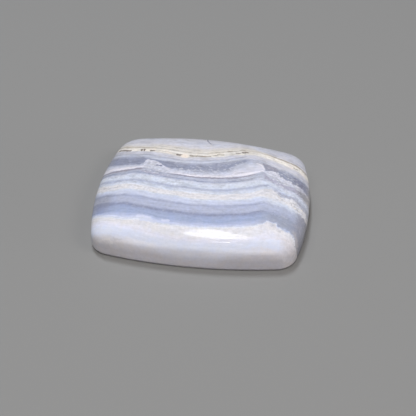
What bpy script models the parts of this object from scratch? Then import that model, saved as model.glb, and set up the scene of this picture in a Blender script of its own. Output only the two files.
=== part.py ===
"""Blue lace agate cabochon: a cushion-shaped stone with a low polished dome and a flat back.

Metres, +Z up through the dome, +X along the stone's length. The origin is the middle of the flat back.
"""

import math

import bmesh
import bpy

NODE = "cabochon"

# Outer size
LENGTH = 0.0300
WIDTH = 0.0244
THICKNESS = 0.0064

# Outline seen from above: four bowed sides, each one arc, joined by round corners
LONG_SIDE_BOW = 0.0017
SHORT_SIDE_BOW = 0.0020
CORNER_RADIUS = 0.0030
TAPER = 0.022  # share by which the width shrinks from the middle to the +X end, and grows to the -X end

# Section: a chamfer round the back, an upright girdle, then the dome
BACK_CHAMFER = 0.00025
GIRDLE_TOP = 0.0015
CROWN_POWER = 2.3  # above 2, the crown is flatter than an ellipse
SHOULDER_POWER = 2.5  # above 2, the shoulder rolls into the girdle more evenly than an ellipse
CORNER_FADE = 2.0  # how fast the cushion's corners fade to an oval towards the crown

# Mesh steps
STEPS_SHORT_SIDE = 8
STEPS_CORNER = 12
STEPS_LONG_SIDE = 12
STEPS_DOME = 22
SHARP_EDGE = math.radians(35)

# Finish
AGATE_BLUE = (0.49, 0.53, 0.62, 1.0)
POLISH_ROUGHNESS = 0.12

HALF_LENGTH = LENGTH / 2
HALF_WIDTH = WIDTH / 2


def clear_scene():
    for obj in list(bpy.data.objects):
        bpy.data.objects.remove(obj, do_unlink=True)


def arc(centre, radius, start, end, steps):
    """Points on an arc, without its last one."""
    points = []
    for step in range(steps):
        angle = start + (end - start) * step / steps
        x = centre[0] + radius * math.cos(angle)
        y = centre[1] + radius * math.sin(angle)
        points.append((x, y))
    return points


def circle_crossing(first, first_radius, second, second_radius):
    """The upper right point where two circles cross."""
    dx = second[0] - first[0]
    dy = second[1] - first[1]
    gap = math.hypot(dx, dy)
    along = (first_radius ** 2 - second_radius ** 2 + gap ** 2) / (2 * gap)
    aside = math.sqrt(first_radius ** 2 - along ** 2)
    crossings = []
    for side in (-aside, aside):
        x = first[0] + (along * dx - side * dy) / gap
        y = first[1] + (along * dy + side * dx) / gap
        crossings.append((x, y))
    return max(crossings, key=sum)


def quarter_outline():
    """From the middle of the +X side to the middle of the +Y side, without the last point."""
    long_radius = (HALF_LENGTH ** 2 + LONG_SIDE_BOW ** 2) / (2 * LONG_SIDE_BOW)
    short_radius = (HALF_WIDTH ** 2 + SHORT_SIDE_BOW ** 2) / (2 * SHORT_SIDE_BOW)
    long_centre = (0.0, HALF_WIDTH - long_radius)
    short_centre = (HALF_LENGTH - short_radius, 0.0)
    corner = circle_crossing(
        long_centre, long_radius - CORNER_RADIUS, short_centre, short_radius - CORNER_RADIUS
    )
    short_end = math.atan2(corner[1] - short_centre[1], corner[0] - short_centre[0])
    long_start = math.atan2(corner[1] - long_centre[1], corner[0] - long_centre[0])
    points = arc(short_centre, short_radius, 0.0, short_end, STEPS_SHORT_SIDE)
    points += arc(corner, CORNER_RADIUS, short_end, long_start, STEPS_CORNER)
    points += arc(long_centre, long_radius, long_start, math.pi / 2, STEPS_LONG_SIDE)
    return points


def full_outline():
    """The whole outline, counterclockwise from the middle of the +X side, with its taper."""
    quarter = quarter_outline()
    outline = list(quarter)
    outline.append((0.0, HALF_WIDTH))
    outline += [(-x, y) for x, y in reversed(quarter)]
    outline += [(-x, -y) for x, y in quarter[1:]]
    outline.append((0.0, -HALF_WIDTH))
    outline += [(x, -y) for x, y in reversed(quarter[1:])]
    return [(x, y * (1 - TAPER * x / HALF_LENGTH)) for x, y in outline]


def back_ring(outline):
    """The edge of the flat back, inside the outline by the chamfer."""
    along = 1 - BACK_CHAMFER / HALF_LENGTH
    across = 1 - BACK_CHAMFER / HALF_WIDTH
    return [(x * along, y * across, 0.0) for x, y in outline]


def dome_ring(outline, share):
    """A level ring at a share of the outline's reach, oval near the crown."""
    height = GIRDLE_TOP + (THICKNESS - GIRDLE_TOP) * (1 - share ** CROWN_POWER) ** (1 / SHOULDER_POWER)
    cushion = share ** CORNER_FADE
    ring = []
    for x, y in outline:
        angle = math.atan2(y / HALF_WIDTH, x / HALF_LENGTH)
        oval_x = HALF_LENGTH * math.cos(angle)
        oval_y = HALF_WIDTH * math.sin(angle)
        ring_x = share * (oval_x + cushion * (x - oval_x))
        ring_y = share * (oval_y + cushion * (y - oval_y))
        ring.append((ring_x, ring_y, height))
    return ring


def stone_rings():
    """Every ring from the flat back up to the last one below the crown."""
    outline = full_outline()
    rings = [back_ring(outline)]
    rings.append([(x, y, BACK_CHAMFER) for x, y in outline])
    for step in range(STEPS_DOME, 0, -1):
        turn = math.pi / 2 * step / STEPS_DOME
        rings.append(dome_ring(outline, math.sin(turn) ** (2 / CROWN_POWER)))
    return rings


def add_ring(mesh, points):
    verts = [mesh.verts.new(point) for point in points]
    edges = []
    for index, vert in enumerate(verts):
        edges.append(mesh.edges.new((verts[index - 1], vert)))
    return verts, edges


def stone_mesh():
    """The closed skin: bridged rings, a flat back and a fan round the crown."""
    mesh = bmesh.new()
    rings = [add_ring(mesh, points) for points in stone_rings()]
    for (_, lower), (_, upper) in zip(rings, rings[1:]):
        bmesh.ops.bridge_loops(mesh, edges=lower + upper)
    mesh.faces.new(rings[0][0])
    crown = mesh.verts.new((0.0, 0.0, THICKNESS))
    last_ring = rings[-1][0]
    for index, vert in enumerate(last_ring):
        mesh.faces.new((last_ring[index - 1], vert, crown))
    bmesh.ops.recalc_face_normals(mesh, faces=mesh.faces)
    data = bpy.data.meshes.new(NODE)
    mesh.to_mesh(data)
    mesh.free()
    data.shade_smooth()
    data.set_sharp_from_angle(angle=SHARP_EDGE)
    return data


def agate_material():
    material = bpy.data.materials.new("agate")
    material.use_nodes = True
    shader = material.node_tree.nodes["Principled BSDF"]
    shader.inputs["Base Color"].default_value = AGATE_BLUE
    shader.inputs["Roughness"].default_value = POLISH_ROUGHNESS
    shader.inputs["Metallic"].default_value = 0.0
    material.diffuse_color = AGATE_BLUE
    return material


def build_cabochon():
    stone = bpy.data.objects.new(NODE, stone_mesh())
    stone.data.materials.append(agate_material())
    bpy.context.scene.collection.objects.link(stone)


clear_scene()
build_cabochon()
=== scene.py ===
"""Blue lace agate cabochon: the polished stone, its bands and the light it lies in."""

import math

import bpy
import numpy as np
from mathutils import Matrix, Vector, noise


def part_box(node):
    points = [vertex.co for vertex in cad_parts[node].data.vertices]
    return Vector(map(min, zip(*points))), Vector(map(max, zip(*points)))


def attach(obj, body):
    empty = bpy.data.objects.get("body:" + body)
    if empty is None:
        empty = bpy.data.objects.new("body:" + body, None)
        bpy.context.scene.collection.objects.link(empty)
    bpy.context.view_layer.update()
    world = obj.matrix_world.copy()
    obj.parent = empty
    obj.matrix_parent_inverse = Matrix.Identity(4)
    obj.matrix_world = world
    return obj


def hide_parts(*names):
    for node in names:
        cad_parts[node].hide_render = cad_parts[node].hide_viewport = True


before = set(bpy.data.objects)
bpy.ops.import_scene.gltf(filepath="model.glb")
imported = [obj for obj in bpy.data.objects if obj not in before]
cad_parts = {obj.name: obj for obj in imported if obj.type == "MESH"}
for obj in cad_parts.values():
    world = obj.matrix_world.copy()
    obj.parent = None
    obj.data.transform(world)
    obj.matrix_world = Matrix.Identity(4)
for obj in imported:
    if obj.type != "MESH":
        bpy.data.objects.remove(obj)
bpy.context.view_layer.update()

MM = 0.001

# The stone's length and height come from its solid in model.glb, and the rest of its form is that of the
# solid
NODE = "cabochon"
LOW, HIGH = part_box(NODE)
HALF_LENGTH = (HIGH[0] - LOW[0]) / 2
HALF_WIDTH = 12.2 * MM  # at the middle of its length, between the wider end and the narrower one
THICKNESS = HIGH[2]
LONG_SIDE_BOW = 1.7 * MM
SHORT_SIDE_BOW = 2.0 * MM
CORNER_RADIUS = 3.0 * MM
TAPER = 0.022  # share by which the width shrinks from the middle to the +X end, and grows to the -X end
BACK_CHAMFER = 0.25 * MM
CHAMFER_BLEND = 0.08 * MM  # how much rounder the chamfer is here than in the solid
GIRDLE_TOP = 1.5 * MM
CROWN_POWER = 2.3
SHOULDER_POWER = 2.5
CORNER_FADE = 2.0

# Fine mesh: square rings from the middle out, each with RING_GROWTH more points than the one before
RINGS = 96
RING_GROWTH = 8
GIRDLE_STEPS = 9
CHAMFER_SHARES = (0.5, 1.0)
ARC_STEPS = 400
PROFILE_SAMPLES = 4000
SHARP_EDGE = math.radians(50)

# Hand polish: the dome is not quite even
SWELL_DEPTH = 0.010 * MM
SWELL_PITCH = 4.5 * MM
SWELL_ONSET = 3.0  # how quickly it sets in above the girdle


def srgb(red, green, blue):
    """Screen values from 0 to 255 as the linear colour that a shader takes."""
    channels = []
    for value in (red, green, blue):
        share = value / 255
        channels.append(share / 12.92 if share <= 0.04045 else ((share + 0.055) / 1.055) ** 2.4)
    return (*channels, 1.0)


def arc(centre, radius, start, end, steps):
    """Points on an arc, without its last one."""
    angles = np.linspace(start, end, steps, endpoint=False)
    return np.stack([centre[0] + radius * np.cos(angles), centre[1] + radius * np.sin(angles)], 1)


def circle_crossing(first, first_radius, second, second_radius):
    """The upper right point where two circles cross."""
    step = second - first
    gap = np.hypot(*step)
    along = (first_radius**2 - second_radius**2 + gap**2) / (2 * gap)
    aside = math.sqrt(first_radius**2 - along**2)
    middle = first + step * along / gap
    across = np.array([-step[1], step[0]]) / gap
    return max((middle - across * aside, middle + across * aside), key=sum)


def quarter_outline(steps):
    """From the middle of the +X side to the middle of the +Y side, as three arcs."""
    long_radius = (HALF_LENGTH**2 + LONG_SIDE_BOW**2) / (2 * LONG_SIDE_BOW)
    short_radius = (HALF_WIDTH**2 + SHORT_SIDE_BOW**2) / (2 * SHORT_SIDE_BOW)
    long_centre = np.array([0.0, HALF_WIDTH - long_radius])
    short_centre = np.array([HALF_LENGTH - short_radius, 0.0])
    corner = circle_crossing(
        long_centre, long_radius - CORNER_RADIUS, short_centre, short_radius - CORNER_RADIUS
    )
    short_end = math.atan2(*(corner - short_centre)[::-1])
    long_start = math.atan2(*(corner - long_centre)[::-1])
    return np.concatenate([
        arc(short_centre, short_radius, 0.0, short_end, steps),
        arc(corner, CORNER_RADIUS, short_end, long_start, steps),
        arc(long_centre, long_radius, long_start, math.pi / 2, steps),
        [[0.0, HALF_WIDTH]],
    ])


def outline_at(shares):
    """Points of the outline at shares of its way round, counterclockwise from the middle of the +X side."""
    quarter = quarter_outline(ARC_STEPS)
    walked = np.concatenate([[0.0], np.cumsum(np.hypot(*np.diff(quarter, axis=0).T))])
    turns = np.asarray(shares) * 4
    side = np.floor(turns).astype(int) % 4
    part = turns - np.floor(turns)
    part = np.where(side % 2 == 1, 1 - part, part)
    x = np.interp(part * walked[-1], walked, quarter[:, 0])
    y = np.interp(part * walked[-1], walked, quarter[:, 1])
    x = np.where((side == 1) | (side == 2), -x, x)
    y = np.where(side >= 2, -y, y)
    return x, y * (1 - TAPER * x / HALF_LENGTH)


def dome_height(share):
    return GIRDLE_TOP + (THICKNESS - GIRDLE_TOP) * (1 - share**CROWN_POWER) ** (1 / SHOULDER_POWER)


def even_shares(steps):
    """Shares of the outline's reach that cut the dome's long section into equal lengths, crown first."""
    turn = np.linspace(0.0, math.pi / 2, PROFILE_SAMPLES)
    share = np.sin(turn) ** (2 / CROWN_POWER)
    share[-1] = 1.0
    height = dome_height(share)
    walked = np.concatenate([[0.0], np.cumsum(np.hypot(np.diff(share) * HALF_LENGTH, np.diff(height)))])
    return np.interp(np.linspace(0.0, walked[-1], steps + 1), walked, share)


def dome_ring(x, y, share):
    """A level ring of the dome, oval near the crown."""
    angle = np.arctan2(y / HALF_WIDTH, x / HALF_LENGTH)
    oval_x = HALF_LENGTH * np.cos(angle)
    oval_y = HALF_WIDTH * np.sin(angle)
    cushion = share**CORNER_FADE
    return share * (oval_x + cushion * (x - oval_x)), share * (oval_y + cushion * (y - oval_y))


def square_spiral(reach):
    """Grid places at each ring of a square grid, ring by ring, counterclockwise from +X."""
    places = [(0, 0)]
    for ring in range(1, reach + 1):
        side = list(range(-ring, ring))
        right = [(ring, step) for step in range(0, ring)]
        top = [(-step, ring) for step in side]
        left = [(-ring, -step) for step in side]
        bottom = [(step, -ring) for step in side]
        rest = [(ring, step) for step in range(-ring, 0)]
        places += right + top + left + bottom + rest
    return places


def grid_quads(places, reach, first):
    """Quads of the square grid, as numbers of the points that square_spiral gives, from first on."""
    number = {place: first + index for index, place in enumerate(places)}
    quads = []
    for i in range(-reach, reach):
        for j in range(-reach, reach):
            quads.append((number[i, j], number[i + 1, j], number[i + 1, j + 1], number[i, j + 1]))
    return quads


def dome_and_back(shares):
    """The points of the dome and of the flat back, ring by ring from their middles."""
    dome = [(0.0, 0.0, THICKNESS)]
    back = [(0.0, 0.0, 0.0)]
    inset_x = 1 - BACK_CHAMFER / HALF_LENGTH
    inset_y = 1 - BACK_CHAMFER / HALF_WIDTH
    for ring in range(1, RINGS + 1):
        count = RING_GROWTH * ring
        x, y = outline_at(np.arange(count) / count)
        ring_x, ring_y = dome_ring(x, y, shares[ring])
        dome += list(zip(ring_x, ring_y, [dome_height(shares[ring])] * count))
        part = ring / RINGS
        back += list(zip(x * inset_x * part, y * inset_y * part, [0.0] * count))
    return dome, back


def side_rings():
    """The level rings of the girdle and the chamfer, from the top down, as (X, Y, height)."""
    count = RING_GROWTH * RINGS
    x, y = outline_at(np.arange(count) / count)
    rings = []
    for height in np.linspace(GIRDLE_TOP, BACK_CHAMFER + CHAMFER_BLEND, GIRDLE_STEPS)[1:]:
        rings.append((x, y, height))
    for share in CHAMFER_SHARES:
        drop = BACK_CHAMFER * share
        inset = drop - CHAMFER_BLEND * share
        height = BACK_CHAMFER - drop + CHAMFER_BLEND / 2
        rings.append((x * (1 - inset / HALF_LENGTH), y * (1 - inset / HALF_WIDTH), height))
    return rings


def stone_points():
    """Dome, girdle, chamfer and back, as points and quads."""
    places = square_spiral(RINGS)
    dome, back = dome_and_back(even_shares(RINGS))
    points = dome + back
    quads = grid_quads(places, RINGS, 0)
    quads += [quad[::-1] for quad in grid_quads(places, RINGS, len(dome))]

    rim_count = RING_GROWTH * RINGS
    rows = [list(range(len(dome) - rim_count, len(dome)))]
    for x, y, height in side_rings():
        rows.append(list(range(len(points), len(points) + rim_count)))
        points += list(zip(x, y, [height] * rim_count))
    rows.append(list(range(len(dome) + len(back) - rim_count, len(dome) + len(back))))
    for upper, lower in zip(rows, rows[1:]):
        for index in range(rim_count):
            before = index - 1
            quads.append((upper[before], lower[before], lower[index], upper[index]))
    return np.array(points), quads


def swell(points):
    """Lowers the dome by the uneven hand polish, and leaves the girdle and back as they are."""
    raised = (points[:, 2] - GIRDLE_TOP) / (THICKNESS - GIRDLE_TOP)
    for index in np.nonzero(raised > 0)[0]:
        place = Vector(points[index]) / SWELL_PITCH
        depth = SWELL_DEPTH * (0.5 + 0.5 * noise.noise(place))
        points[index, 2] -= depth * min(1.0, raised[index] * SWELL_ONSET)
    return points


def build_stone():
    points, quads = stone_points()
    points = swell(points)
    mesh = bpy.data.meshes.new("agate_stone")
    mesh.from_pydata([tuple(point) for point in points], [], quads)
    mesh.validate()
    mesh.shade_smooth()
    mesh.set_sharp_from_angle(angle=SHARP_EDGE)
    stone = bpy.data.objects.new("agate_stone", mesh)
    bpy.context.scene.collection.objects.link(stone)
    return stone


class Nodes:
    """Short calls for the shader nodes of one material.

    A value is a number, a tuple or another node's socket.
    """

    def __init__(self, tree):
        self.tree = tree

    def set(self, socket, value):
        if isinstance(value, bpy.types.NodeSocket):
            self.tree.links.new(value, socket)
        else:
            socket.default_value = value

    def put(self, kind, inputs=None, **settings):
        node = self.tree.nodes.new(kind)
        for name, value in settings.items():
            setattr(node, name, value)
        for name, value in (inputs or {}).items():
            self.set(node.inputs[name], value)
        return node

    def math(self, operation, *values, clamp=False):
        inputs = dict(enumerate(values))
        return self.put("ShaderNodeMath", inputs, operation=operation, use_clamp=clamp).outputs[0]

    def sub(self, a, b):
        return self.math("SUBTRACT", a, b)

    def mul(self, a, b):
        return self.math("MULTIPLY", a, b)

    def fit(self, value, low, high, to_low=0.0, to_high=1.0):
        """Carries low..high smoothly to to_low..to_high, and stops there."""
        inputs = {0: value, 1: low, 2: high, 3: to_low, 4: to_high}
        return self.put("ShaderNodeMapRange", inputs, interpolation_type="SMOOTHSTEP").outputs[0]

    def vector(self, x, y, z):
        return self.put("ShaderNodeCombineXYZ", {0: x, 1: y, 2: z}).outputs[0]

    def stretched(self, x, y, z, scales):
        """A place for noise, squeezed along each axis by its own scale."""
        return self.vector(*(self.mul(value, scale) for value, scale in zip((x, y, z), scales)))

    def split(self, vector):
        return self.put("ShaderNodeSeparateXYZ", {0: vector}).outputs

    def vector_math(self, operation, inputs, output=0):
        return self.put("ShaderNodeVectorMath", inputs, operation=operation).outputs[output]

    def grain(self, vector, scale, detail, roughness, output="Fac"):
        """Noise from 0 to 1, with 0.5 as its middle."""
        inputs = {"Vector": vector, "Scale": scale, "Detail": detail, "Roughness": roughness}
        return self.put("ShaderNodeTexNoise", inputs).outputs[output]

    def swing(self, noise_value):
        """Noise from -0.5 to 0.5, as a change to either side."""
        return self.sub(noise_value, 0.5)

    def mix(self, share, first, second):
        return self.put("ShaderNodeMix", {0: share, 2: first, 3: second}).outputs[0]

    def blend(self, share, first, second):
        """Mixes two colours."""
        return self.put("ShaderNodeMix", {0: share, 6: first, 7: second}, data_type="RGBA").outputs[2]

    def curve(self, share, points):
        """A smooth curve through points that lie in 0..1 both ways."""
        node = self.put("ShaderNodeFloatCurve", {"Value": share})
        handles = node.mapping.curves[0].points
        while len(handles) < len(points):
            handles.new(0.5, 0.5)
        for handle, place in zip(handles, sorted(points)):
            handle.location = place
        node.mapping.update()
        return node.outputs[0]

    def ramp(self, share, stops):
        """Colour and sugar at a share, from (place, colour, sugar) stops.

        Sugar is how grainy the agate is, from 0 to 1.
        """
        node = self.put("ShaderNodeValToRGB", {0: share})
        elements = node.color_ramp.elements
        while len(elements) < len(stops):
            elements.new(0.5)
        for element, (place, colour, sugar) in zip(elements, stops):
            element.position = place
            element.color = (*colour[:3], sugar)
        return node.outputs


# Bands: sheets that lean with depth. All lengths of the pattern are in millimetres.
LEAN = 0.35  # how far the bands shift across the stone for each millimetre of depth
CREST = THICKNESS / MM
PATTERN_X = (-15.2, 15.2)
PATTERN_V = (-16.0, 12.0)
BEHIND_REACH = 8.0  # of the layers behind the first guide
FRONT_REACH = 5.0  # of the layers in front of the last guide
USUAL_X = np.linspace(-14, 14, 57)  # where the usual thickness of a layer is taken

# Unevenness: how far noise moves the bands, and where along the stone a change in them comes
SLOW_WARP = 0.3
QUICK_WARP = 0.36
LACY_WARP = 0.8
CHANGE_WARP = 1.5

# Right of the lens, and in front of a line that falls to the right, the bands are lacy and ragged.
# Each range is where that starts and where it is whole.
RIGHT_DIP = 0.38  # how far that line falls for each millimetre to the right
LACY_X = (8.0, 9.5)
LACY_V = (8.3, 7.6)

# Noises: (how fine it is, how many finer layers it has, how strong those are)
SLOW_NOISE = (0.4, 1.0, 0.5)
QUICK_NOISE = (2.1, 4.0, 0.65)
STREAK_NOISE = (1.0, 4.0, 0.7)
CLOUD_NOISE = (1.0, 2.0, 0.5)
THREAD_NOISE = (1.0, 2.0, 0.5)
GRIT_NOISE = (2.6, 2.0, 0.6)
TINT_NOISE = (0.9, 2.0, 0.5)
CRYSTAL_NOISE = (2.9, 1.0, 0.5)
HOLLOW_NOISE = (2.4, 1.0, 0.5)
GRIND_NOISE = (1.0, 3.0, 0.5)
RELIEF_NOISE = (1.4, 3.0, 0.5)

# How much finer some of them are along the stone, across the bands and up the stone
STREAK_SCALES = (0.45, 4.0, 0.3)
CLOUD_SCALES = (0.8, 1.7, 0.8)
THREAD_SCALES = (0.22, 1.5, 1.0)
BREAK_SCALES = (0.7, 1.0, 1.0)
CRYSTAL_SCALES = (0.7, 1.0, 1.0)
GRIND_SCALES = (0.6, 6.0, 1.0)

# How far apart in the noise the threads, their breaks, the tints and the hollows lie
THREAD_LEVEL = 7.0
BREAK_LEVEL = 3.0
TINT_SHIFT = (3.0, 43.0, 11.0)
HOLLOW_SHIFT = (31.0, 17.0, 5.0)

# Tone: how much it varies in streaks, in patches and from crystal to crystal, and how dark the threads are
STREAK_STRENGTH = 0.55
CLOUD_STRENGTH = 0.16
GRIT_LEAST = 0.08
GRIT_STRENGTH = 0.6
THREAD_STRENGTH = 0.16
THREAD_WIDTHS = (0.09, 0.015)  # how near the noise is to its middle at a thread's edge and at its core
THREAD_BREAKS = (0.42, 0.6)
THREAD_DEPTHS = (9.0, 11.5)  # where in the stack of layers the threads fade out

# Where the streaks give way to the calm white of the front, as a depth in the stack of layers
CALM_DEPTHS = (15.5, 18.0)
CALM_SHARE = 0.35

# Tint: cooler and warmer patches
COOL_TINT = (0.99, 1.0, 1.02, 1.0)
WARM_TINT = (1.01, 1.0, 0.98, 1.0)
TINT_RANGE = (0.35, 0.65)

# Sand: pale crystals and dark hollows, more of them in the lacy part
LACY_SAND = 0.6
CRYSTAL_RANGE = (0.56, 0.7)
CRYSTAL_STRENGTH = 0.45
HOLLOW_RANGE = (0.58, 0.74)
HOLLOW_STRENGTH = 0.3

# Marks: their edges are uneven, and they fade out low on the stone
MARK_RAGGEDNESS = 0.3  # how far the grit moves their edges
MARK_EDGE = (1.35, 0.5)  # shares of the half thickness where they start and where they are whole
MARK_HEIGHTS = (1.0, 2.4)  # heights on the stone where they start and where they are whole

# Surface: a good polish on the dome and girdle, duller where it is grainy, and a ground back
POLISH = 0.09
POLISH_SPREAD = 0.05
SUGAR_DULLNESS = 0.02
GROUND_ROUGHNESS = 0.5
GROUND_SPREAD = 0.2
BACK_HEIGHTS = (0.3, 0.1)  # where the polish ends, and where the surface is wholly ground
GRIND_RELIEF = 2.0
RELIEF_DEPTH = 0.012 * MM
AGATE_IOR = 1.54

# Guides: the lines that part the main bands, as (X, V), where V is Y carried along the lean of the bands
# up to the crest. From the back of the stone to its front.
GUIDES = {
    "tan_line": [
        (-15, 9.0), (-13.6, 7.15), (-12, 6.45), (-10, 6.05), (-7.5, 5.75), (-5, 5.3), (-1.5, 4.8),
        (0.3, 5.0), (2, 5.7), (4, 6.5), (6, 7.15), (8, 6.75), (10, 6.2), (12, 5.85), (13.5, 5.3), (15, 4.3),
    ],
    "cream_end": [
        (-15, 7.0), (-13.5, 5.75), (-12, 5.2), (-10.5, 4.85), (-8, 4.7), (-6, 4.35), (-4, 3.75), (-3, 3.55),
        (-2, 3.7), (0, 4.0), (2, 4.5), (4, 5.45), (6.5, 5.95), (9, 5.4), (11, 4.85), (13, 4.3), (15, 3.2),
    ],
    "slate_start": [
        (-15, 4.9), (-13.5, 3.9), (-12, 3.5), (-9, 3.15), (-8, 2.95), (-7, 2.65), (-5, 2.35), (-3, 2.2),
        (-1, 2.2), (1, 2.65), (3, 3.25), (4.5, 4.0), (6, 4.75), (8, 4.4), (10, 3.6), (12, 3.2),
        (13.5, 2.65), (15, 1.9),
    ],
    "slate_end": [
        (-15, 2.8), (-13, 1.9), (-11, 1.65), (-8.8, 1.75), (-8.6, 2.15), (-8.45, 2.8), (-7.5, 2.6),
        (-6.6, 2.15), (-5.8, 1.4), (-5, 0.9), (-3, 0.5), (0, 0.5), (2, 0.7), (3.4, 1.35), (4.0, 1.95),
        (4.3, 2.8), (4.8, 3.4), (6, 4.1), (7.2, 4.3), (7.9, 4.0), (8.3, 3.2), (8.5, 2.5), (9.3, 2.8),
        (9.9, 2.7), (10.5, 1.95), (11.2, 1.65), (12.3, 1.2), (13.5, 0.85), (15, -0.2),
    ],
    "brown_line": [
        (-15, 0.5), (-14, 0.3), (-12.5, 0.3), (-10.5, 0.45), (-9, 0.65), (-8, 0.4), (-6, -0.25), (-4, -0.5),
        (-1.5, -0.7), (1, -0.67), (3, -0.36), (5, 0.12), (6.5, 0.9), (7.5, 1.65), (8.3, 2.2), (8.7, 1.5),
        (10, 0.85), (11.4, 0.4), (12.5, 0.4), (13.3, 0.05), (15, -1.0),
    ],
    "grey_end": [
        (-15, -0.35), (-13.5, -0.55), (-12, -0.65), (-9, -0.45), (-7, -0.85), (-5, -1.3), (-2, -1.6),
        (0.5, -1.75), (2, -1.65), (4, -1.2), (6, -0.4), (7.2, 0.25), (8, 0.52), (8.8, 0.5), (10, 0.1),
        (11.4, -0.5), (12.5, -0.6), (13.3, -0.85), (15, -2.0),
    ],
    "cream_start": [
        (-15, -2.4), (-13, -2.95), (-10, -2.85), (-8, -3.2), (-5, -3.85), (-2, -4.2), (1, -4.3), (3, -4.15),
        (5, -3.6), (7, -2.95), (8, -2.2), (8.7, -1.6), (9.5, -1.4), (10.1, -1.65), (10.7, -2.25),
        (11.8, -2.35), (12.6, -2.2), (13.2, -2.55), (13.7, -3.15), (15, -4.1),
    ],
    "speckle_end": [
        (-15, -3.5), (-13, -4.05), (-10, -3.85), (-8, -4.1), (-5, -4.7), (-3, -4.9), (-1, -5.2), (1, -5.2),
        (3, -4.95), (5, -4.6), (7, -3.95), (8, -3.35), (8.8, -3.0), (10, -3.2), (12, -3.5), (12.7, -3.95),
        (13.5, -4.2), (15, -5.0),
    ],
    "dark_line": [
        (-15, -6.4), (-13, -6.7), (-11, -6.75), (-9.5, -6.8), (-8, -7.2), (-6, -7.5), (-4, -7.75),
        (-1, -7.9), (1.5, -7.95), (3.5, -7.65), (5.5, -7.25), (7.5, -6.65), (9, -5.9), (10.5, -5.95),
        (12.5, -6.2), (15, -7.2),
    ],
    "white_start": [
        (-15, -8.25), (-13.5, -8.6), (-12, -8.95), (-10.5, -9.2), (-9.2, -9.35), (-8.5, -9.25),
        (-7.5, -9.1), (-6.2, -9.15), (-5.6, -9.35), (-5.0, -9.75), (-4.3, -9.9), (-1, -10.0), (1, -9.97),
        (3, -9.75), (5, -9.4), (7, -8.95), (8, -8.65), (9, -8.17), (9.35, -7.9), (9.85, -7.4),
        (10.3, -7.75), (10.9, -7.5), (11.15, -8.15), (12, -8.4), (13, -8.75), (13.4, -9.3), (13.7, -10.3),
        (14.1, -15.5),
    ],
    "cotton_end": [
        (-15, -9.8), (-13, -10.1), (-10, -10.4), (-8, -10.8), (-5, -11.4), (-2, -11.8), (1, -11.8),
        (4, -11.5), (7, -10.9), (9, -10.3), (11, -10.0), (13, -10.2), (15, -11.0),
    ],
}

# Colours of the layers, as they look in plain white light; a few of them paint light or shade low on the
# front and at the right end, as said where they are used
TAN = srgb(184, 173, 161)
PALE_TAN = srgb(204, 195, 186)
OYSTER = srgb(215, 211, 208)
CREAM = srgb(230, 224, 217)
IVORY = srgb(240, 235, 230)
SAND = srgb(205, 199, 193)
SHELL = srgb(215, 210, 208)
PEARL = srgb(213, 211, 215)
PALE_PEARL = srgb(216, 215, 225)
LIGHT_MIST = srgb(208, 210, 224)
MIST = srgb(204, 204, 216)
PALE_MIST = srgb(199, 201, 215)
HAZE = srgb(196, 197, 210)
THREAD = srgb(177, 180, 195)
FROST = srgb(198, 202, 217)
DUSK = srgb(172, 176, 194)
PALE_DUSK = srgb(183, 185, 201)
SLATE_PALE = srgb(164, 168, 187)
SLATE = srgb(151, 156, 177)
SLATE_LEFT = srgb(148, 153, 175)
SLATE_DEEP = srgb(142, 147, 170)
SLATE_BROWN = srgb(155, 155, 170)
INDIGO = srgb(141, 143, 163)
PEWTER = srgb(157, 157, 166)
DRIFT = srgb(171, 169, 176)
OYSTER_GREY = srgb(190, 188, 190)
LILAC = srgb(187, 191, 209)
CLOUD = srgb(202, 205, 221)
OPAL = srgb(210, 210, 225)
WHITE_LINE = srgb(228, 226, 238)
BROWN = srgb(154, 150, 162)
PLUM = srgb(176, 175, 195)
HEATHER = srgb(170, 171, 189)
PALE_GREY = srgb(182, 186, 205)
GREY = srgb(172, 176, 195)
STEEL = srgb(165, 171, 192)
STORM = srgb(156, 162, 182)
FLINT = srgb(157, 159, 175)
DOVE = srgb(182, 179, 187)
SHADE = srgb(153, 160, 183)
ICE = srgb(209, 215, 231)
SKY = srgb(198, 204, 222)
LACE = srgb(178, 184, 206)
MILK = srgb(219, 218, 225)
MILK_BRIGHT = srgb(227, 228, 238)
PERIWINKLE = srgb(200, 206, 228)
BLUE_THREAD = srgb(168, 174, 199)
BLUE_GREY = srgb(178, 184, 208)
DEEP = srgb(146, 152, 178)
MARINE = srgb(154, 163, 193)
BLUE = srgb(164, 175, 206)
PALE_BLUE = srgb(182, 191, 221)
GLACIER = srgb(204, 210, 234)
SNOW = srgb(221, 225, 238)
COTTON = srgb(224, 223, 230)
COTTON_SHADE = srgb(220, 219, 227)
DULL_COTTON = srgb(211, 210, 219)
# Painted warm bounce light from the floor, low on the front near the right end
PAINTED_BOUNCE_WHITE = srgb(224, 219, 222)
BLUE_WHITE = srgb(222, 227, 246)
PALE_WHITE = srgb(228, 228, 243)
ASH = srgb(222, 220, 228)
ASH_GREY = srgb(218, 214, 221)
STONE = srgb(226, 223, 232)
# Painted light and painted shade for the front below the cotton: the band where the shoulder turns down is
# painted lighter, and the front wall is painted darker towards the foot
STONE_PAINTED_SHADE = srgb(217, 214, 223)
STONE_PAINTED_LIGHT_DIM = srgb(225, 226, 240)
STONE_PAINTED_LIGHT = srgb(233, 234, 248)

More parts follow.
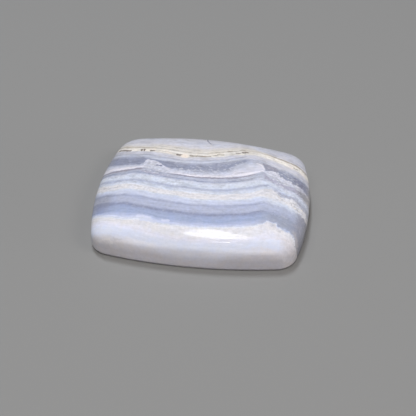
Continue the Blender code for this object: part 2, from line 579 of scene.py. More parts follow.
# Layers from one guide to the next, and those behind the first guide: (share of the way, colour, sugar)
LAYERS = {
    "behind": [
        (0.0, PALE_TAN, 0.3), (0.014, OYSTER, 0.4), (0.035, CREAM, 0.4), (0.075, OYSTER, 0.4),
        (0.12, SHELL, 0.3), (0.19, PALE_PEARL, 0.2), (0.34, LIGHT_MIST, 0.2), (0.5, MIST, 0.2),
        (1.0, PALE_MIST, 0.2),
    ],
    "tan_line": [
        (0.0, PALE_TAN, 0.3), (0.09, OYSTER, 0.5), (0.22, CREAM, 0.6), (0.34, IVORY, 0.6),
        (0.5, CREAM, 0.7), (0.66, OYSTER, 0.6), (0.78, CREAM, 0.6), (0.88, OYSTER, 0.5), (1.0, PEARL, 0.3),
    ],
    "cream_end": [
        (0.0, PEARL, 0.3), (0.2, MIST, 0.3), (0.4, MIST, 0.3), (0.53, THREAD, 0.3), (0.6, LILAC, 0.3),
        (0.66, LILAC, 0.3), (0.76, FROST, 0.3), (0.88, FROST, 0.3), (1.0, DUSK, 0.4),
    ],
    "slate_start": [
        (0.0, DUSK, 0.4), (0.15, SLATE_PALE, 0.6), (0.35, SLATE, 0.7), (0.7, SLATE, 0.9),
        (0.85, SLATE_PALE, 1.0), (1.0, DUSK, 1.0),
    ],
    "slate_end": [
        (0.0, DUSK, 1.0), (0.14, LILAC, 1.0), (0.35, CLOUD, 0.7), (0.6, OPAL, 0.6), (0.76, WHITE_LINE, 0.4),
        (0.88, WHITE_LINE, 0.4), (0.96, GREY, 0.4), (1.0, BROWN, 0.3),
    ],
    "brown_line": [
        (0.0, BROWN, 0.3), (0.08, BROWN, 0.4), (0.2, GREY, 0.6), (0.35, PALE_GREY, 0.6),
        (0.6, PALE_GREY, 0.6), (0.76, GREY, 0.7), (0.86, SHADE, 0.5), (0.93, STEEL, 0.6), (1.0, LACE, 0.7),
    ],
    "grey_end": [
        (0.0, LACE, 0.6), (0.08, CLOUD, 0.5), (0.2, ICE, 0.5), (0.38, ICE, 0.5), (0.48, SKY, 0.5),
        (0.55, LACE, 0.4), (0.62, LACE, 0.4), (0.7, SKY, 0.4), (0.88, ICE, 0.4), (0.96, MILK, 0.4),
        (1.0, MILK, 0.4),
    ],
    "cream_start": [(0.0, MILK, 0.4), (0.5, MILK, 0.5), (0.85, MILK, 0.4), (1.0, ICE, 0.3)],
    "speckle_end": [
        (0.0, ICE, 0.5), (0.12, PERIWINKLE, 0.3), (0.27, PERIWINKLE, 0.3), (0.39, BLUE_THREAD, 0.3),
        (0.45, BLUE_THREAD, 0.3), (0.53, BLUE_GREY, 0.4), (0.78, BLUE_GREY, 0.4), (0.87, BLUE_THREAD, 0.4),
        (0.95, DEEP, 0.6), (1.0, DEEP, 0.6),
    ],
    "dark_line": [
        (0.0, DEEP, 0.6), (0.1, MARINE, 0.4), (0.3, BLUE, 0.2), (0.56, BLUE, 0.2), (0.75, PALE_BLUE, 0.2),
        (0.92, GLACIER, 0.4), (1.0, SNOW, 0.6),
    ],
    "white_start": [
        (0.0, SNOW, 0.5), (0.12, COTTON, 0.45), (0.45, COTTON, 0.4), (0.75, COTTON, 0.3),
        (1.0, PALE_WHITE, 0.2),
    ],
    # Below the cotton: a painted light band where the shoulder turns down, then the plainer stone colour
    # down the front wall to the foot
    "cotton_end": [
        (0.0, PALE_WHITE, 0.2), (0.12, BLUE_WHITE, 0.1), (0.24, BLUE_WHITE, 0.1), (0.3, STONE_PAINTED_LIGHT, 0.1),
        (0.36, STONE_PAINTED_LIGHT, 0.1), (0.46, STONE, 0.1), (1.0, STONE, 0.2),
    ],
}

# Changes in the layers along the stone: (X where a change starts, X where it is whole, layers)
CHANGES = [
    # Duller towards the left, where the dark bands are cut more cleanly and the pale ones are grainier
    (-6.5, -9.0, {
        "tan_line": [
            (0.0, TAN, 0.3), (0.14, OYSTER, 0.5), (0.28, CREAM, 0.6), (0.55, IVORY, 0.6), (0.8, CREAM, 0.5),
            (0.92, MIST, 0.3), (1.0, MIST, 0.3),
        ],
        "behind": [
            (0.0, TAN, 0.3), (0.014, SAND, 0.4), (0.035, SHELL, 0.4), (0.08, PEARL, 0.3), (0.19, MIST, 0.2),
            (0.34, PALE_MIST, 0.2), (1.0, PALE_MIST, 0.2),
        ],
        "cream_end": [
            (0.0, MIST, 0.3), (0.15, MIST, 0.3), (0.3, MIST, 0.3), (0.4, THREAD, 0.3), (0.48, THREAD, 0.3),
            (0.58, FROST, 0.3), (0.75, LILAC, 0.3), (0.9, DUSK, 0.3), (1.0, SLATE, 0.3),
        ],
        "white_start": [
            (0.0, SNOW, 0.4), (0.25, COTTON_SHADE, 0.4), (0.7, COTTON_SHADE, 0.3), (1.0, PALE_WHITE, 0.2),
        ],
    }),
    (-4.6, -5.6, {
        "white_start": [
            (0.0, GLACIER, 0.2), (0.14, SNOW, 0.3), (0.3, COTTON, 0.4), (0.6, COTTON, 0.4),
            (1.0, PALE_WHITE, 0.2),
        ],
    }),
    # On the left the front below the cotton turns ash grey down the front wall towards the foot: painted
    # shade
    (-7.5, -10.5, {
        "cotton_end": [
            (0.0, PALE_WHITE, 0.2), (0.12, BLUE_WHITE, 0.1), (0.28, BLUE_WHITE, 0.1), (0.4, ASH, 0.2),
            (0.52, ASH, 0.2), (0.65, ASH_GREY, 0.1), (1.0, ASH_GREY, 0.2),
        ],
    }),
    (0.5, -4.0, {
        "grey_end": [
            (0.0, LACE, 0.7), (0.08, CLOUD, 0.7), (0.2, ICE, 0.8), (0.38, ICE, 0.8), (0.48, SKY, 0.7),
            (0.55, LACE, 0.6), (0.62, LACE, 0.6), (0.7, SKY, 0.6), (0.88, ICE, 0.6), (1.0, MILK, 0.8),
        ],
        "cream_start": [(0.0, MILK, 0.8), (0.5, MILK, 0.9), (0.85, MILK, 0.8), (1.0, ICE, 0.5)],
    }),
    (-3.6, -5.4, {
        "slate_start": [
            (0.0, DUSK, 0.3), (0.14, SLATE, 0.4), (0.86, SLATE_LEFT, 0.5), (0.95, SLATE, 0.6),
            (1.0, SLATE_PALE, 0.8),
        ],
    }),
    # The lines crumble where the bands step down
    (-3.2, -5.2, {
        "slate_end": [
            (0.0, LILAC, 1.0), (0.05, OPAL, 1.0), (0.16, OPAL, 1.0), (0.3, CLOUD, 1.0), (0.45, HAZE, 1.0),
            (0.62, CLOUD, 1.0), (0.85, HAZE, 1.0), (1.0, GREY, 1.0),
        ],
        "brown_line": [
            (0.0, GREY, 1.0), (0.25, DUSK, 1.0), (0.55, PLUM, 1.0), (0.8, STEEL, 0.9), (1.0, LACE, 0.8),
        ],
    }),
    # Left of that step they are clean again
    (-8.35, -8.8, {
        "slate_end": [
            (0.0, SLATE_PALE, 0.4), (0.12, LILAC, 0.4), (0.38, CLOUD, 0.4), (0.56, WHITE_LINE, 0.3),
            (0.84, WHITE_LINE, 0.3), (0.93, GREY, 0.3), (1.0, BROWN, 0.3),
        ],
        "brown_line": [
            (0.0, BROWN, 0.3), (0.15, BROWN, 0.4), (0.32, GREY, 0.5), (0.5, DUSK, 0.5), (0.66, STEEL, 0.5),
            (0.86, STEEL, 0.5), (1.0, LACE, 0.6),
        ],
    }),
    # At the left end the blue bands turn to slate
    (-10.5, -12.5, {
        "speckle_end": [
            (0.0, ICE, 0.5), (0.12, PERIWINKLE, 0.3), (0.24, BLUE_GREY, 0.3), (0.34, SLATE, 0.4),
            (0.5, SLATE_PALE, 0.4), (0.78, SLATE_PALE, 0.4), (0.9, SLATE_DEEP, 0.4), (1.0, SLATE_DEEP, 0.3),
        ],
        "dark_line": [
            (0.0, SLATE_DEEP, 0.4), (0.2, DEEP, 0.2), (0.7, MARINE, 0.2), (0.87, PALE_BLUE, 0.2),
            (1.0, SNOW, 0.6),
        ],
    }),
    # Over the lens the slate is thin and pale, and its brown line is lost
    (4.6, 5.6, {
        "cream_end": [
            (0.0, PEARL, 0.3), (0.3, MIST, 0.3), (0.72, MIST, 0.3), (0.88, FROST, 0.3), (1.0, DUSK, 0.4),
        ],
        "slate_end": [
            (0.0, DUSK, 0.5), (0.1, LILAC, 0.3), (0.25, CLOUD, 0.3), (0.7, OPAL, 0.2),
            (0.82, WHITE_LINE, 0.3), (0.92, WHITE_LINE, 0.3), (0.97, GREY, 0.3), (1.0, BROWN, 0.3),
        ],
        "brown_line": [
            (0.0, BROWN, 0.3), (0.08, BROWN, 0.4), (0.2, LILAC, 0.6), (0.5, LILAC, 0.6), (0.74, DUSK, 0.6),
            (0.88, DUSK, 0.5), (1.0, LILAC, 0.6),
        ],
    }),
    (5.2, 6.3, {
        "slate_start": [(0.0, DUSK, 0.4), (0.2, PALE_DUSK, 0.5), (0.75, PALE_DUSK, 0.5), (1.0, LILAC, 0.6)],
    }),
    (6.8, 7.7, {
        "slate_end": [
            (0.0, DUSK, 0.5), (0.1, CLOUD, 0.3), (0.3, OPAL, 0.2), (0.7, OPAL, 0.2), (0.8, WHITE_LINE, 0.3),
            (0.92, WHITE_LINE, 0.3), (1.0, LILAC, 0.4),
        ],
        "brown_line": [
            (0.0, LILAC, 0.5), (0.2, DUSK, 0.6), (0.4, LILAC, 0.6), (0.75, LILAC, 0.6), (1.0, CLOUD, 0.7),
        ],
    }),
    # Behind the lens the bands are plainer, and in front of it the foot is duller: the front below the
    # cotton has less painted light on the shoulder and painted shade towards the foot
    (4.5, 7.0, {
        "behind": [
            (0.0, PALE_TAN, 0.3), (0.014, OYSTER, 0.4), (0.03, OYSTER, 0.4), (0.055, PEARL, 0.3),
            (0.1, LIGHT_MIST, 0.2), (0.3, LIGHT_MIST, 0.2), (0.5, PALE_MIST, 0.2), (1.0, PALE_MIST, 0.2),
        ],
    }),
    (3.0, 6.5, {
        "cotton_end": [
            (0.0, PALE_WHITE, 0.2), (0.12, BLUE_WHITE, 0.1), (0.22, BLUE_WHITE, 0.1),
            (0.29, STONE_PAINTED_LIGHT_DIM, 0.1), (0.36, STONE_PAINTED_LIGHT_DIM, 0.1), (0.46, STONE_PAINTED_SHADE, 0.1),
            (1.0, STONE_PAINTED_SHADE, 0.2),
        ],
    }),
    # Right of the lens the bands are rough, and their thin lines are lost
    (7.9, 8.9, {
        "behind": [
            (0.0, TAN, 0.3), (0.014, SAND, 0.4), (0.04, MIST, 0.4), (0.1, MIST, 0.3),
            (0.21, PALE_MIST, 0.2), (0.34, HAZE, 0.2), (1.0, HAZE, 0.2),
        ],
        "tan_line": [
            (0.0, SAND, 0.5), (0.1, SHELL, 0.6), (0.3, IVORY, 0.8), (0.75, IVORY, 0.9), (1.0, PEARL, 0.7),
        ],
    }),
    (7.75, 8.25, {
        "slate_start": [
            (0.0, DUSK, 0.4), (0.15, SLATE_BROWN, 0.6), (0.75, SLATE_BROWN, 0.8), (1.0, DUSK, 1.0),
        ],
    }),
    (8.25, 8.75, {
        "slate_end": [
            (0.0, LILAC, 1.0), (0.08, OPAL, 1.0), (0.28, OPAL, 1.0), (0.5, CLOUD, 1.0), (0.75, HAZE, 1.0),
            (1.0, LILAC, 1.0),
        ],
        "brown_line": [
            (0.0, LILAC, 1.0), (0.2, PLUM, 0.9), (0.5, PLUM, 0.8), (0.8, HEATHER, 0.8), (1.0, LILAC, 0.9),
        ],
    }),
    (9.6, 10.5, {
        "slate_start": [
            (0.0, DUSK, 0.4), (0.2, SLATE_PALE, 0.6), (0.45, SLATE, 0.8), (0.85, SLATE, 0.9),
            (1.0, SLATE_PALE, 1.0),
        ],
        "grey_end": [
            (0.0, LILAC, 0.8), (0.12, CLOUD, 0.9), (0.3, ICE, 0.9), (0.5, SKY, 0.8), (0.62, LACE, 0.8),
            (0.74, PALE_DUSK, 0.8), (0.86, PALE_DUSK, 0.8), (0.95, LILAC, 0.9), (1.0, MILK, 1.0),
        ],
        "cream_start": [(0.0, MILK, 0.9), (0.5, MILK, 1.0), (0.85, MILK, 1.0), (1.0, ICE, 0.6)],
    }),
    (8.0, 9.3, {
        "white_start": [
            (0.0, ICE, 0.8), (0.1, DULL_COTTON, 0.8), (0.22, DULL_COTTON, 0.8), (0.4, COTTON, 0.6),
            (1.0, PALE_WHITE, 0.2),
        ],
    }),
    (11.0, 12.2, {
        "white_start": [(0.0, ICE, 0.8), (0.1, COTTON, 0.8), (0.4, COTTON, 0.7), (1.0, ASH_GREY, 0.5)],
    }),
    # At the right end the slate turns brown and then pale
    (12.2, 13.0, {
        "slate_start": [(0.0, DUSK, 0.4), (0.2, INDIGO, 0.5), (0.85, INDIGO, 0.6), (1.0, SLATE_PALE, 0.9)],
    }),
    (12.7, 13.6, {
        "brown_line": [(0.0, PEWTER, 0.5), (0.85, PEWTER, 0.5), (1.0, PLUM, 0.6)],
    }),
    (13.2, 14.0, {
        "slate_end": [
            (0.0, PLUM, 1.0), (0.2, LILAC, 0.9), (0.45, PLUM, 0.8), (0.6, PEWTER, 0.6), (1.0, PEWTER, 0.5),
        ],
    }),
    (14.0, 14.6, {
        "slate_start": [(0.0, DUSK, 0.4), (0.2, PEWTER, 0.4), (0.7, PEWTER, 0.5), (1.0, DOVE, 0.7)],
        "slate_end": [
            (0.0, OYSTER_GREY, 0.6), (0.25, OYSTER_GREY, 0.6), (0.6, DRIFT, 0.5), (1.0, DRIFT, 0.4),
        ],
        "brown_line": [(0.0, DRIFT, 0.4), (0.4, DRIFT, 0.5), (0.8, OYSTER_GREY, 0.5), (1.0, DOVE, 0.5)],
    }),
    # The blue bands turn grey towards the right end
    (7.7, 10.6, {
        "speckle_end": [
            (0.0, MILK, 0.6), (0.12, ICE, 0.4), (0.3, SKY, 0.4), (0.45, LACE, 0.4), (0.7, LACE, 0.4),
            (0.88, BLUE_THREAD, 0.4), (1.0, STEEL, 0.4),
        ],
        "dark_line": [
            (0.0, STEEL, 0.3), (0.1, STORM, 0.3), (0.5, STORM, 0.3), (0.8, STEEL, 0.3),
            (0.93, PALE_BLUE, 0.5), (1.0, SNOW, 0.8),
        ],
        # Below the cotton the front is painted darker towards the foot: painted shade
        "cotton_end": [
            (0.0, PALE_WHITE, 0.2), (0.1, BLUE_WHITE, 0.1), (0.27, BLUE_WHITE, 0.1), (0.38, STONE, 0.1),
            (0.5, STONE_PAINTED_SHADE, 0.1), (1.0, STONE_PAINTED_SHADE, 0.2),
        ],
    }),
    # At the right end the lower wall in the dark line turns a lighter warm grey: partly the stone's own
    # grey, partly painted warm bounce light from the floor
    (12.4, 13.8, {
        "speckle_end": [(0.0, MILK, 0.6), (0.15, FLINT, 0.4), (1.0, FLINT, 0.3)],
        "dark_line": [(0.0, FLINT, 0.3), (0.4, FLINT, 0.3), (0.65, DOVE, 0.3), (1.0, DOVE, 0.3)],
    }),
    # Near the right corner the front is painted lighter and warmer towards the foot: painted warm bounce
    # light from the floor
    (11.4, 13.0, {
        "cotton_end": [
            (0.0, ASH_GREY, 0.5), (0.3, ASH_GREY, 0.5), (0.6, PAINTED_BOUNCE_WHITE, 0.4), (1.0, PAINTED_BOUNCE_WHITE, 0.3),
        ],
    }),
]

# Marks on the bands, which are gaps, a crack, wisps and granules: (first end, second end, half thickness,
# colour, how much of it shows)
EARTH = srgb(112, 102, 98)
OLIVE = srgb(156, 149, 141)
UMBER = srgb(162, 153, 144)
PEACH = srgb(240, 228, 218)
BLOSSOM = srgb(233, 223, 222)
COPPER = srgb(203, 184, 168)
CHALK_CREAM = srgb(238, 234, 226)
INK = srgb(128, 131, 150)
VEIN = srgb(222, 217, 219)
CHALK = srgb(218, 222, 244)
SLATE_INK = srgb(124, 128, 154)
LAVENDER_GREY = srgb(184, 187, 202)
GRANULE = srgb(166, 165, 172)
RIM = srgb(226, 223, 232)
ASH_LIGHT = srgb(238, 235, 238)
ASH_DARK = srgb(205, 204, 213)
MARKS = [
    ((-13.2, 6.05), (-11.45, 5.35), 0.19, EARTH, 0.85),
    ((-9.72, 5.4), (-9.68, 5.12), 0.16, EARTH, 0.95),
    ((-9.27, 5.4), (-9.23, 5.1), 0.16, EARTH, 0.95),
    ((-8.5, 5.5), (-7.7, 5.45), 0.15, PEACH, 0.7),
    ((-8.3, 5.06), (-7.85, 5.04), 0.15, EARTH, 0.9),
    ((-5.9, 4.75), (-5.2, 4.5), 0.22, PEACH, 0.5),
    ((-4.25, 4.15), (-3.68, 4.15), 0.19, EARTH, 0.9),
    ((-3.2, 3.95), (-3.0, 3.9), 0.5, PEACH, 1.0),
    ((-3.12, 3.95), (-3.08, 3.95), 0.1, COPPER, 0.6),
    ((-2.35, 4.1), (-0.75, 4.08), 0.17, OLIVE, 0.85),
    ((-0.75, 4.05), (0.5, 4.35), 0.13, UMBER, 0.9),
    ((0.9, 4.62), (1.2, 4.7), 0.12, OLIVE, 0.6),
    ((0.75, 4.32), (1.15, 4.36), 0.12, CHALK_CREAM, 0.7),
    ((1.1, 5.45), (1.6, 5.55), 0.1, OLIVE, 0.5),
    ((1.4, 5.0), (2.3, 5.12), 0.12, OLIVE, 0.6),
    ((1.7, 4.65), (2.25, 4.75), 0.13, CHALK_CREAM, 0.8),
    ((2.75, 6.15), (3.25, 6.25), 0.11, UMBER, 0.8),
    ((3.95, 5.88), (4.45, 5.98), 0.14, EARTH, 0.6),
    ((4.5, 5.65), (5.05, 5.8), 0.11, CHALK_CREAM, 0.8),
    ((4.9, 6.3), (5.5, 6.5), 0.19, EARTH, 0.85),
    ((4.45, 6.95), (5.05, 7.1), 0.12, UMBER, 0.7),
    ((8.0, 6.75), (9.0, 6.6), 0.13, UMBER, 0.3),
    ((9.1, 6.5), (10.3, 6.15), 0.13, OLIVE, 0.45),
    ((10.3, 6.15), (12.4, 5.85), 0.12, UMBER, 0.8),
    ((12.4, 5.85), (14.0, 5.0), 0.13, UMBER, 0.7),
    ((11.7, 5.1), (12.05, 4.75), 0.24, BLOSSOM, 0.9),
    ((12.35, 4.95), (12.7, 4.87), 0.14, OLIVE, 0.6),
    ((13.4, 4.4), (13.8, 4.3), 0.17, BLOSSOM, 0.7),
    ((4.4, 2.2), (5.5, 2.95), 0.5, LAVENDER_GREY, 0.6),
    ((7.1, 3.95), (7.75, 3.75), 0.12, RIM, 0.7),
    ((7.75, 3.75), (8.2, 2.95), 0.13, RIM, 0.8),
    ((-6.7, 1.3), (-6.0, 1.3), 0.13, SLATE_INK, 1.0),
    ((-0.85, 9.6), (-0.42, 8.5), 0.1, INK, 0.8),
    ((-0.42, 8.5), (0.08, 7.75), 0.1, INK, 0.7),
    ((0.08, 7.7), (0.25, 5.7), 0.12, VEIN, 0.35),
    ((-4.1, -9.35), (-3.2, -9.32), 0.16, CHALK, 0.7),
    ((-7.5, -8.85), (-6.7, -8.8), 0.2, CHALK, 0.6),
    ((-6.3, -8.95), (-5.75, -8.95), 0.2, CHALK, 0.6),
    ((-6.9, -9.5), (-5.0, -9.6), 0.2, GLACIER, 0.7),
    ((-12.9, -12.5), (-12.1, -12.65), 0.13, ASH_LIGHT, 0.6),
    ((-11.8, -12.5), (-10.9, -12.4), 0.11, ASH_LIGHT, 0.7),
    ((-10.9, -12.4), (-10.4, -12.8), 0.1, ASH_LIGHT, 0.7),
    ((-10.3, -12.25), (-9.3, -12.4), 0.16, ASH_DARK, 0.5),
    ((-12.6, -12.95), (-11.0, -13.0), 0.16, ASH_DARK, 0.45),
    ((12.45, -3.2), (12.55, -3.25), 0.12, GRANULE, 0.6),
    ((12.9, -3.3), (13.0, -3.35), 0.11, GRANULE, 0.6),
    ((13.4, -3.9), (13.5, -3.95), 0.13, GRANULE, 0.6),
    ((13.9, -3.9), (14.0, -3.95), 0.12, GRANULE, 0.6),
    ((13.05, -3.65), (13.15, -3.6), 0.12, CHALK_CREAM, 0.7),
    ((13.65, -3.9), (13.75, -3.85), 0.12, CHALK_CREAM, 0.7),
    ((14.0, -3.5), (14.1, -3.5), 0.12, CHALK_CREAM, 0.7),
]


def guide_curve(nodes, across, points):
    """V of a guide at a place along X that is given as a share of the pattern."""
    span_x = PATTERN_X[1] - PATTERN_X[0]
    span_v = PATTERN_V[1] - PATTERN_V[0]
    shares = [((x - PATTERN_X[0]) / span_x, (v - PATTERN_V[0]) / span_v) for x, v in points]
    return nodes.math("MULTIPLY_ADD", nodes.curve(across, shares), span_v, PATTERN_V[0])


def usual_thickness(name, following):
    """How thick a layer is on average over the stone's length."""
    upper = np.interp(USUAL_X, *zip(*GUIDES[name]))
    lower = np.interp(USUAL_X, *zip(*GUIDES[following]))
    return float(np.mean(upper - lower))


def layer(nodes, name, share, changed):
    """Colour and sugar of one layer, with its changes along the stone."""
    colour, sugar = nodes.ramp(share, LAYERS[name])
    for amount, (_, _, variants) in zip(changed, CHANGES):
        if name in variants:
            other_colour, other_sugar = nodes.ramp(share, variants[name])
            colour = nodes.blend(amount, colour, other_colour)
            sugar = nodes.mix(amount, sugar, other_sugar)
    return colour, sugar


def bands(nodes, x, v, ragged_x):
    """Colour and sugar of the bands at X and V, and the depth in the stack of layers in millimetres."""
    span_x = PATTERN_X[1] - PATTERN_X[0]
    across = nodes.math("DIVIDE", nodes.sub(x, PATTERN_X[0]), span_x, clamp=True)
    changed = [nodes.fit(ragged_x, start, whole) for start, whole, _ in CHANGES]
    lines = {name: guide_curve(nodes, across, points) for name, points in GUIDES.items()}
    names = list(GUIDES)
    share = nodes.math("DIVIDE", nodes.sub(v, lines[names[0]]), BEHIND_REACH, clamp=True)
    colour, sugar = layer(nodes, "behind", share, changed)
    depth = nodes.mul(share, -BEHIND_REACH)
    for name, following in zip(names, names[1:] + [None]):
        below = nodes.sub(lines[name], v)
        if following:
            thickness = nodes.sub(lines[name], lines[following])
            usual = usual_thickness(name, following)
        else:
            thickness = FRONT_REACH
            usual = FRONT_REACH
        share = nodes.math("DIVIDE", below, thickness, clamp=True)
        inside = nodes.math("GREATER_THAN", below, 0.0)
        layer_colour, layer_sugar = layer(nodes, name, share, changed)
        colour = nodes.blend(inside, colour, layer_colour)
        sugar = nodes.mix(inside, sugar, layer_sugar)
        depth = nodes.math("MULTIPLY_ADD", share, usual, depth)
    return colour, sugar, depth


def warped(nodes, scaled, x, v, lacy):
    """X and V moved about by noise, and a more ragged X for the changes along the stone."""
    slow_x, slow_v, _ = nodes.split(nodes.grain(scaled, *SLOW_NOISE, output="Color"))
    quick_x, quick_v, _ = nodes.split(nodes.grain(scaled, *QUICK_NOISE, output="Color"))
    rough = nodes.math("MULTIPLY_ADD", lacy, LACY_WARP, QUICK_WARP)
    warped_x = nodes.math("MULTIPLY_ADD", nodes.swing(quick_x), rough, x)
    warped_v = nodes.math("MULTIPLY_ADD", nodes.swing(slow_v), SLOW_WARP, v)
    warped_v = nodes.math("MULTIPLY_ADD", nodes.swing(quick_v), rough, warped_v)
    ragged_x = nodes.math("MULTIPLY_ADD", nodes.swing(slow_x), CHANGE_WARP, warped_x)
    return warped_x, warped_v, ragged_x


def threads(nodes, x, depth):
    """Thin broken lines along the bands, from 0 to 1."""
    line = nodes.grain(nodes.stretched(x, depth, THREAD_LEVEL, THREAD_SCALES), *THREAD_NOISE)
    line = nodes.math("ABSOLUTE", nodes.swing(line))
    breaks = nodes.grain(nodes.stretched(x, depth, BREAK_LEVEL, BREAK_SCALES), *THREAD_NOISE)
    return nodes.mul(nodes.fit(line, *THREAD_WIDTHS), nodes.fit(breaks, *THREAD_BREAKS))


def toned(nodes, colour, sugar, depth, x, z, grit):
    """The bands with their streaks, patches, grit and threads."""
    streak = nodes.swing(nodes.grain(nodes.stretched(x, depth, z, STREAK_SCALES), *STREAK_NOISE))
    cloud = nodes.swing(nodes.grain(nodes.stretched(x, depth, z, CLOUD_SCALES), *CLOUD_NOISE))
    calm = nodes.fit(depth, *CALM_DEPTHS, 1.0, CALM_SHARE)
    grittiness = nodes.math("MULTIPLY_ADD", sugar, GRIT_STRENGTH, GRIT_LEAST)
    thread_tone = nodes.fit(depth, *THREAD_DEPTHS, -THREAD_STRENGTH, 0.0)
    tone = nodes.math("MULTIPLY_ADD", streak, nodes.mul(calm, STREAK_STRENGTH), 1.0)
    tone = nodes.math("MULTIPLY_ADD", cloud, nodes.mul(calm, CLOUD_STRENGTH), tone)
    tone = nodes.math("MULTIPLY_ADD", grit, grittiness, tone)
    tone = nodes.math("MULTIPLY_ADD", threads(nodes, x, depth), thread_tone, tone)
    return nodes.vector_math("SCALE", {0: colour, 3: tone})


def tinted(nodes, colour, scaled):
    """Cooler and warmer patches."""
    warmth = nodes.grain(nodes.vector_math("ADD", {0: scaled, 1: TINT_SHIFT}), *TINT_NOISE)
    tint = nodes.blend(nodes.fit(warmth, *TINT_RANGE), COOL_TINT, WARM_TINT)
    return nodes.vector_math("MULTIPLY", {0: colour, 1: tint})


def sanded(nodes, colour, sugar, lacy, scaled):
    """Pale crystals and dark hollows where the agate is sugary."""
    sandy = nodes.mul(nodes.mul(sugar, sugar), nodes.math("MULTIPLY_ADD", lacy, LACY_SAND, 1.0))
    crystals = nodes.grain(nodes.stretched(*nodes.split(scaled), CRYSTAL_SCALES), *CRYSTAL_NOISE)
    sparkle = nodes.mul(nodes.fit(crystals, *CRYSTAL_RANGE), nodes.mul(sandy, CRYSTAL_STRENGTH))
    colour = nodes.blend(sparkle, colour, MILK_BRIGHT)
    hollows = nodes.grain(nodes.vector_math("ADD", {0: scaled, 1: HOLLOW_SHIFT}), *HOLLOW_NOISE)
    shadow = nodes.mul(nodes.fit(hollows, *HOLLOW_RANGE), nodes.mul(sandy, HOLLOW_STRENGTH))
    return nodes.blend(shadow, colour, SLATE)


def marked(nodes, colour, place, grit, on_dome):
    """Lays the marks over the bands. place is (X, V, 0), and grit makes their edges uneven."""
    for start, end, half, tint, strength in MARKS:
        run = Vector(end) - Vector(start)
        way = (*(run / run.length_squared), 0.0)
        from_start = nodes.vector_math("SUBTRACT", {0: place, 1: (*start, 0.0)})
        along = nodes.vector_math("DOT_PRODUCT", {0: from_start, 1: way}, output=1)
        along = nodes.math("MAXIMUM", nodes.math("MINIMUM", along, 1.0), 0.0)
        nearest = nodes.vector_math("SCALE", {0: (*run, 0.0), 3: along})
        away = nodes.vector_math("DISTANCE", {0: from_start, 1: nearest}, output=1)
        away = nodes.math("MULTIPLY_ADD", grit, MARK_RAGGEDNESS, away)
        edge = [half * share for share in MARK_EDGE]
        cover = nodes.mul(nodes.fit(away, *edge, 0.0, strength), on_dome)
        colour = nodes.blend(cover, colour, tint)
    return colour


def finished(nodes, shader, sugar, grit, scaled):
    """Polish on the dome and girdle, and the matt ground back."""
    x, y, z = nodes.split(scaled)
    sugary = nodes.math("MULTIPLY_ADD", sugar, SUGAR_DULLNESS, POLISH)
    polish = nodes.math("MULTIPLY_ADD", grit, POLISH_SPREAD, sugary)
    grind = nodes.grain(nodes.stretched(x, y, 0.0, GRIND_SCALES), *GRIND_NOISE)
    ground = nodes.math("MULTIPLY_ADD", nodes.swing(grind), GROUND_SPREAD, GROUND_ROUGHNESS)
    on_back = nodes.fit(z, *BACK_HEIGHTS)
    nodes.set(shader.inputs["Roughness"], nodes.mix(on_back, polish, ground))
    relief = nodes.mix(on_back, nodes.grain(scaled, *RELIEF_NOISE), nodes.mul(grind, GRIND_RELIEF))
    bump = nodes.put("ShaderNodeBump", {"Height": relief, "Distance": RELIEF_DEPTH, "Strength": 1.0})
    nodes.set(shader.inputs["Normal"], bump.outputs[0])
    shader.inputs["IOR"].default_value = AGATE_IOR


def agate_material():
    material = bpy.data.materials.new("agate")
    material.use_nodes = True
    nodes = Nodes(material.node_tree)
    shader = material.node_tree.nodes["Principled BSDF"]
    place = nodes.put("ShaderNodeTexCoord").outputs["Object"]
    scaled = nodes.vector_math("SCALE", {0: place, 3: 1 / MM})
    x, y, z = nodes.split(scaled)
    v = nodes.math("MULTIPLY_ADD", nodes.sub(z, CREST), LEAN, y)

    lacy_v = nodes.math("MULTIPLY_ADD", x, RIGHT_DIP, v)
    lacy = nodes.mul(nodes.fit(x, *LACY_X), nodes.fit(lacy_v, *LACY_V))
    warped_x, warped_v, ragged_x = warped(nodes, scaled, x, v, lacy)
    colour, sugar, depth = bands(nodes, warped_x, warped_v, ragged_x)
    grit = nodes.swing(nodes.grain(scaled, *GRIT_NOISE))
    colour = toned(nodes, colour, sugar, depth, x, z, grit)
    colour = tinted(nodes, colour, scaled)
    colour = sanded(nodes, colour, sugar, lacy, scaled)
    on_dome = nodes.fit(z, *MARK_HEIGHTS)
    colour = marked(nodes, colour, nodes.vector(warped_x, warped_v, 0.0), grit, on_dome)
    nodes.set(shader.inputs["Base Color"], colour)
    finished(nodes, shader, sugar, grit, scaled)
    return material


# Camera: degrees round the stone from its front and up from the floor, then metres from where it aims
CAMERA_AZIMUTH = 8.324
CAMERA_ELEVATION = 40.363
CAMERA_DISTANCE = 0.13907
CAMERA_AIM = (0.732 * MM, 0.234 * MM, 0.148 * MM)
NEAREST_SEEN = 0.005
FOCAL_LENGTH = 84.76
SENSOR_WIDTH = 36.0

# Light: its colours, and the faint light from all round
WARM = (1.0, 0.965, 0.93)
COOL = (0.94, 0.98, 1.02)
NEUTRAL = (1.0, 1.0, 1.0)
WORLD_COLOUR = (1.0, 0.96, 0.94, 1.0)
WORLD_STRENGTH = 0.05

# Soft boxes that light the stone and don't show in its gloss: (name, degrees round the stone, degrees up,
# metres away, width, height, watts, tint)
LIGHTS = [
    ("front_key", 3.0, 66.0, 0.5, 0.14, 0.26, 1.13, WARM),
    ("front_low", 0.0, 44.0, 0.5, 0.2, 0.14, 0.06, WARM),
    ("left_fill", -60.0, 60.0, 0.5, 0.16, 0.16, 0.28, NEUTRAL),
    ("right_fill", 75.0, 42.0, 0.5, 0.2, 0.16, 0.42, WARM),
    ("right_low", 84.0, 9.0, 0.5, 0.3, 0.14, 0.36, WARM),
    ("back_key", -155.0, 67.0, 0.5, 0.08, 0.13, 1.32, COOL),
]

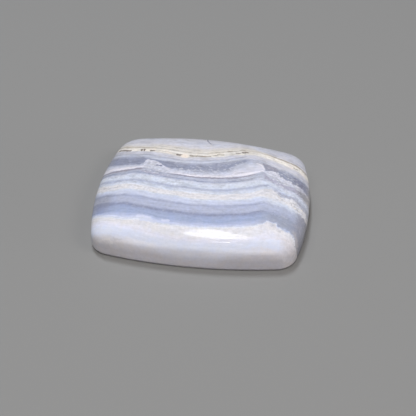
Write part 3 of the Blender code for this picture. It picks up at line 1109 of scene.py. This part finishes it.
# Soft boxes that only show in its gloss: the same, with a shape in place of the tint
GLOSSES = [
    ("shine", -1.5, 76.7, 0.514, 0.144, 0.19, 0.4, "ELLIPSE"),
    ("low_shine", 7.0, 57.0, 0.58, 0.05, 0.024, 0.05, "ELLIPSE"),
    ("glow", 3.0, 32.0, 0.6, 0.5, 0.32, 0.35, "RECTANGLE"),
    ("low_glow", -3.0, 19.0, 0.6, 0.5, 0.32, 0.6, "RECTANGLE"),
]

# Floor
FLOOR_REACH = 1.5
FLOOR_DROP = 0.02 * MM  # keeps the floor and the stone's back apart
FLOOR_GREY = srgb(138, 138, 138)
FLOOR_ROUGHNESS = 0.9


def direction(azimuth, elevation):
    """The way from the stone to a place round it, in degrees from its front and up from the floor."""
    a = math.radians(azimuth)
    e = math.radians(elevation)
    return Vector((math.sin(a) * math.cos(e), -math.cos(a) * math.cos(e), math.sin(e)))


def camera():
    data = bpy.data.cameras.new("camera")
    data.sensor_width = SENSOR_WIDTH
    data.lens = FOCAL_LENGTH
    data.clip_start = NEAREST_SEEN
    back = direction(CAMERA_AZIMUTH, CAMERA_ELEVATION)
    seen_from = bpy.data.objects.new("camera", data)
    seen_from.location = Vector(CAMERA_AIM) + back * CAMERA_DISTANCE
    seen_from.rotation_euler = back.to_track_quat("Z", "Y").to_euler()
    bpy.context.scene.collection.objects.link(seen_from)
    bpy.context.scene.camera = seen_from


def softbox(name, azimuth, elevation, distance, width, height, watts, tint, shape, is_gloss):
    data = bpy.data.lights.new(name, "AREA")
    data.color = tint
    data.shape = shape
    data.size = width
    data.size_y = height
    data.energy = watts
    towards = direction(azimuth, elevation)
    light = bpy.data.objects.new(name, data)
    light.location = towards * distance
    light.rotation_euler = towards.to_track_quat("Z", "Y").to_euler()
    light.visible_glossy = is_gloss
    light.visible_diffuse = not is_gloss
    bpy.context.scene.collection.objects.link(light)


def lay_floor():
    reach = FLOOR_REACH
    corners = [(-reach, -reach, 0), (reach, -reach, 0), (reach, reach, 0), (-reach, reach, 0)]
    mesh = bpy.data.meshes.new("floor")
    mesh.from_pydata(corners, [], [(0, 1, 2, 3)])
    floor = bpy.data.objects.new("floor", mesh)
    floor.location.z = -FLOOR_DROP
    material = bpy.data.materials.new("floor")
    material.use_nodes = True
    shader = material.node_tree.nodes["Principled BSDF"]
    shader.inputs["Base Color"].default_value = FLOOR_GREY
    shader.inputs["Roughness"].default_value = FLOOR_ROUGHNESS
    mesh.materials.append(material)
    bpy.context.scene.collection.objects.link(floor)


def studio():
    lay_floor()
    for *light, tint in LIGHTS:
        softbox(*light, tint, "RECTANGLE", is_gloss=False)
    for *gloss, shape in GLOSSES:
        softbox(*gloss, NEUTRAL, shape, is_gloss=True)

    world = bpy.data.worlds.new("studio")
    world.use_nodes = True
    background = world.node_tree.nodes["Background"]
    background.inputs["Color"].default_value = WORLD_COLOUR
    background.inputs["Strength"].default_value = WORLD_STRENGTH
    bpy.context.scene.world = world
    bpy.context.scene.view_settings.view_transform = "Standard"


stone = build_stone()
stone.data.materials.append(agate_material())
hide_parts(NODE)
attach(stone, "root")
camera()
studio()
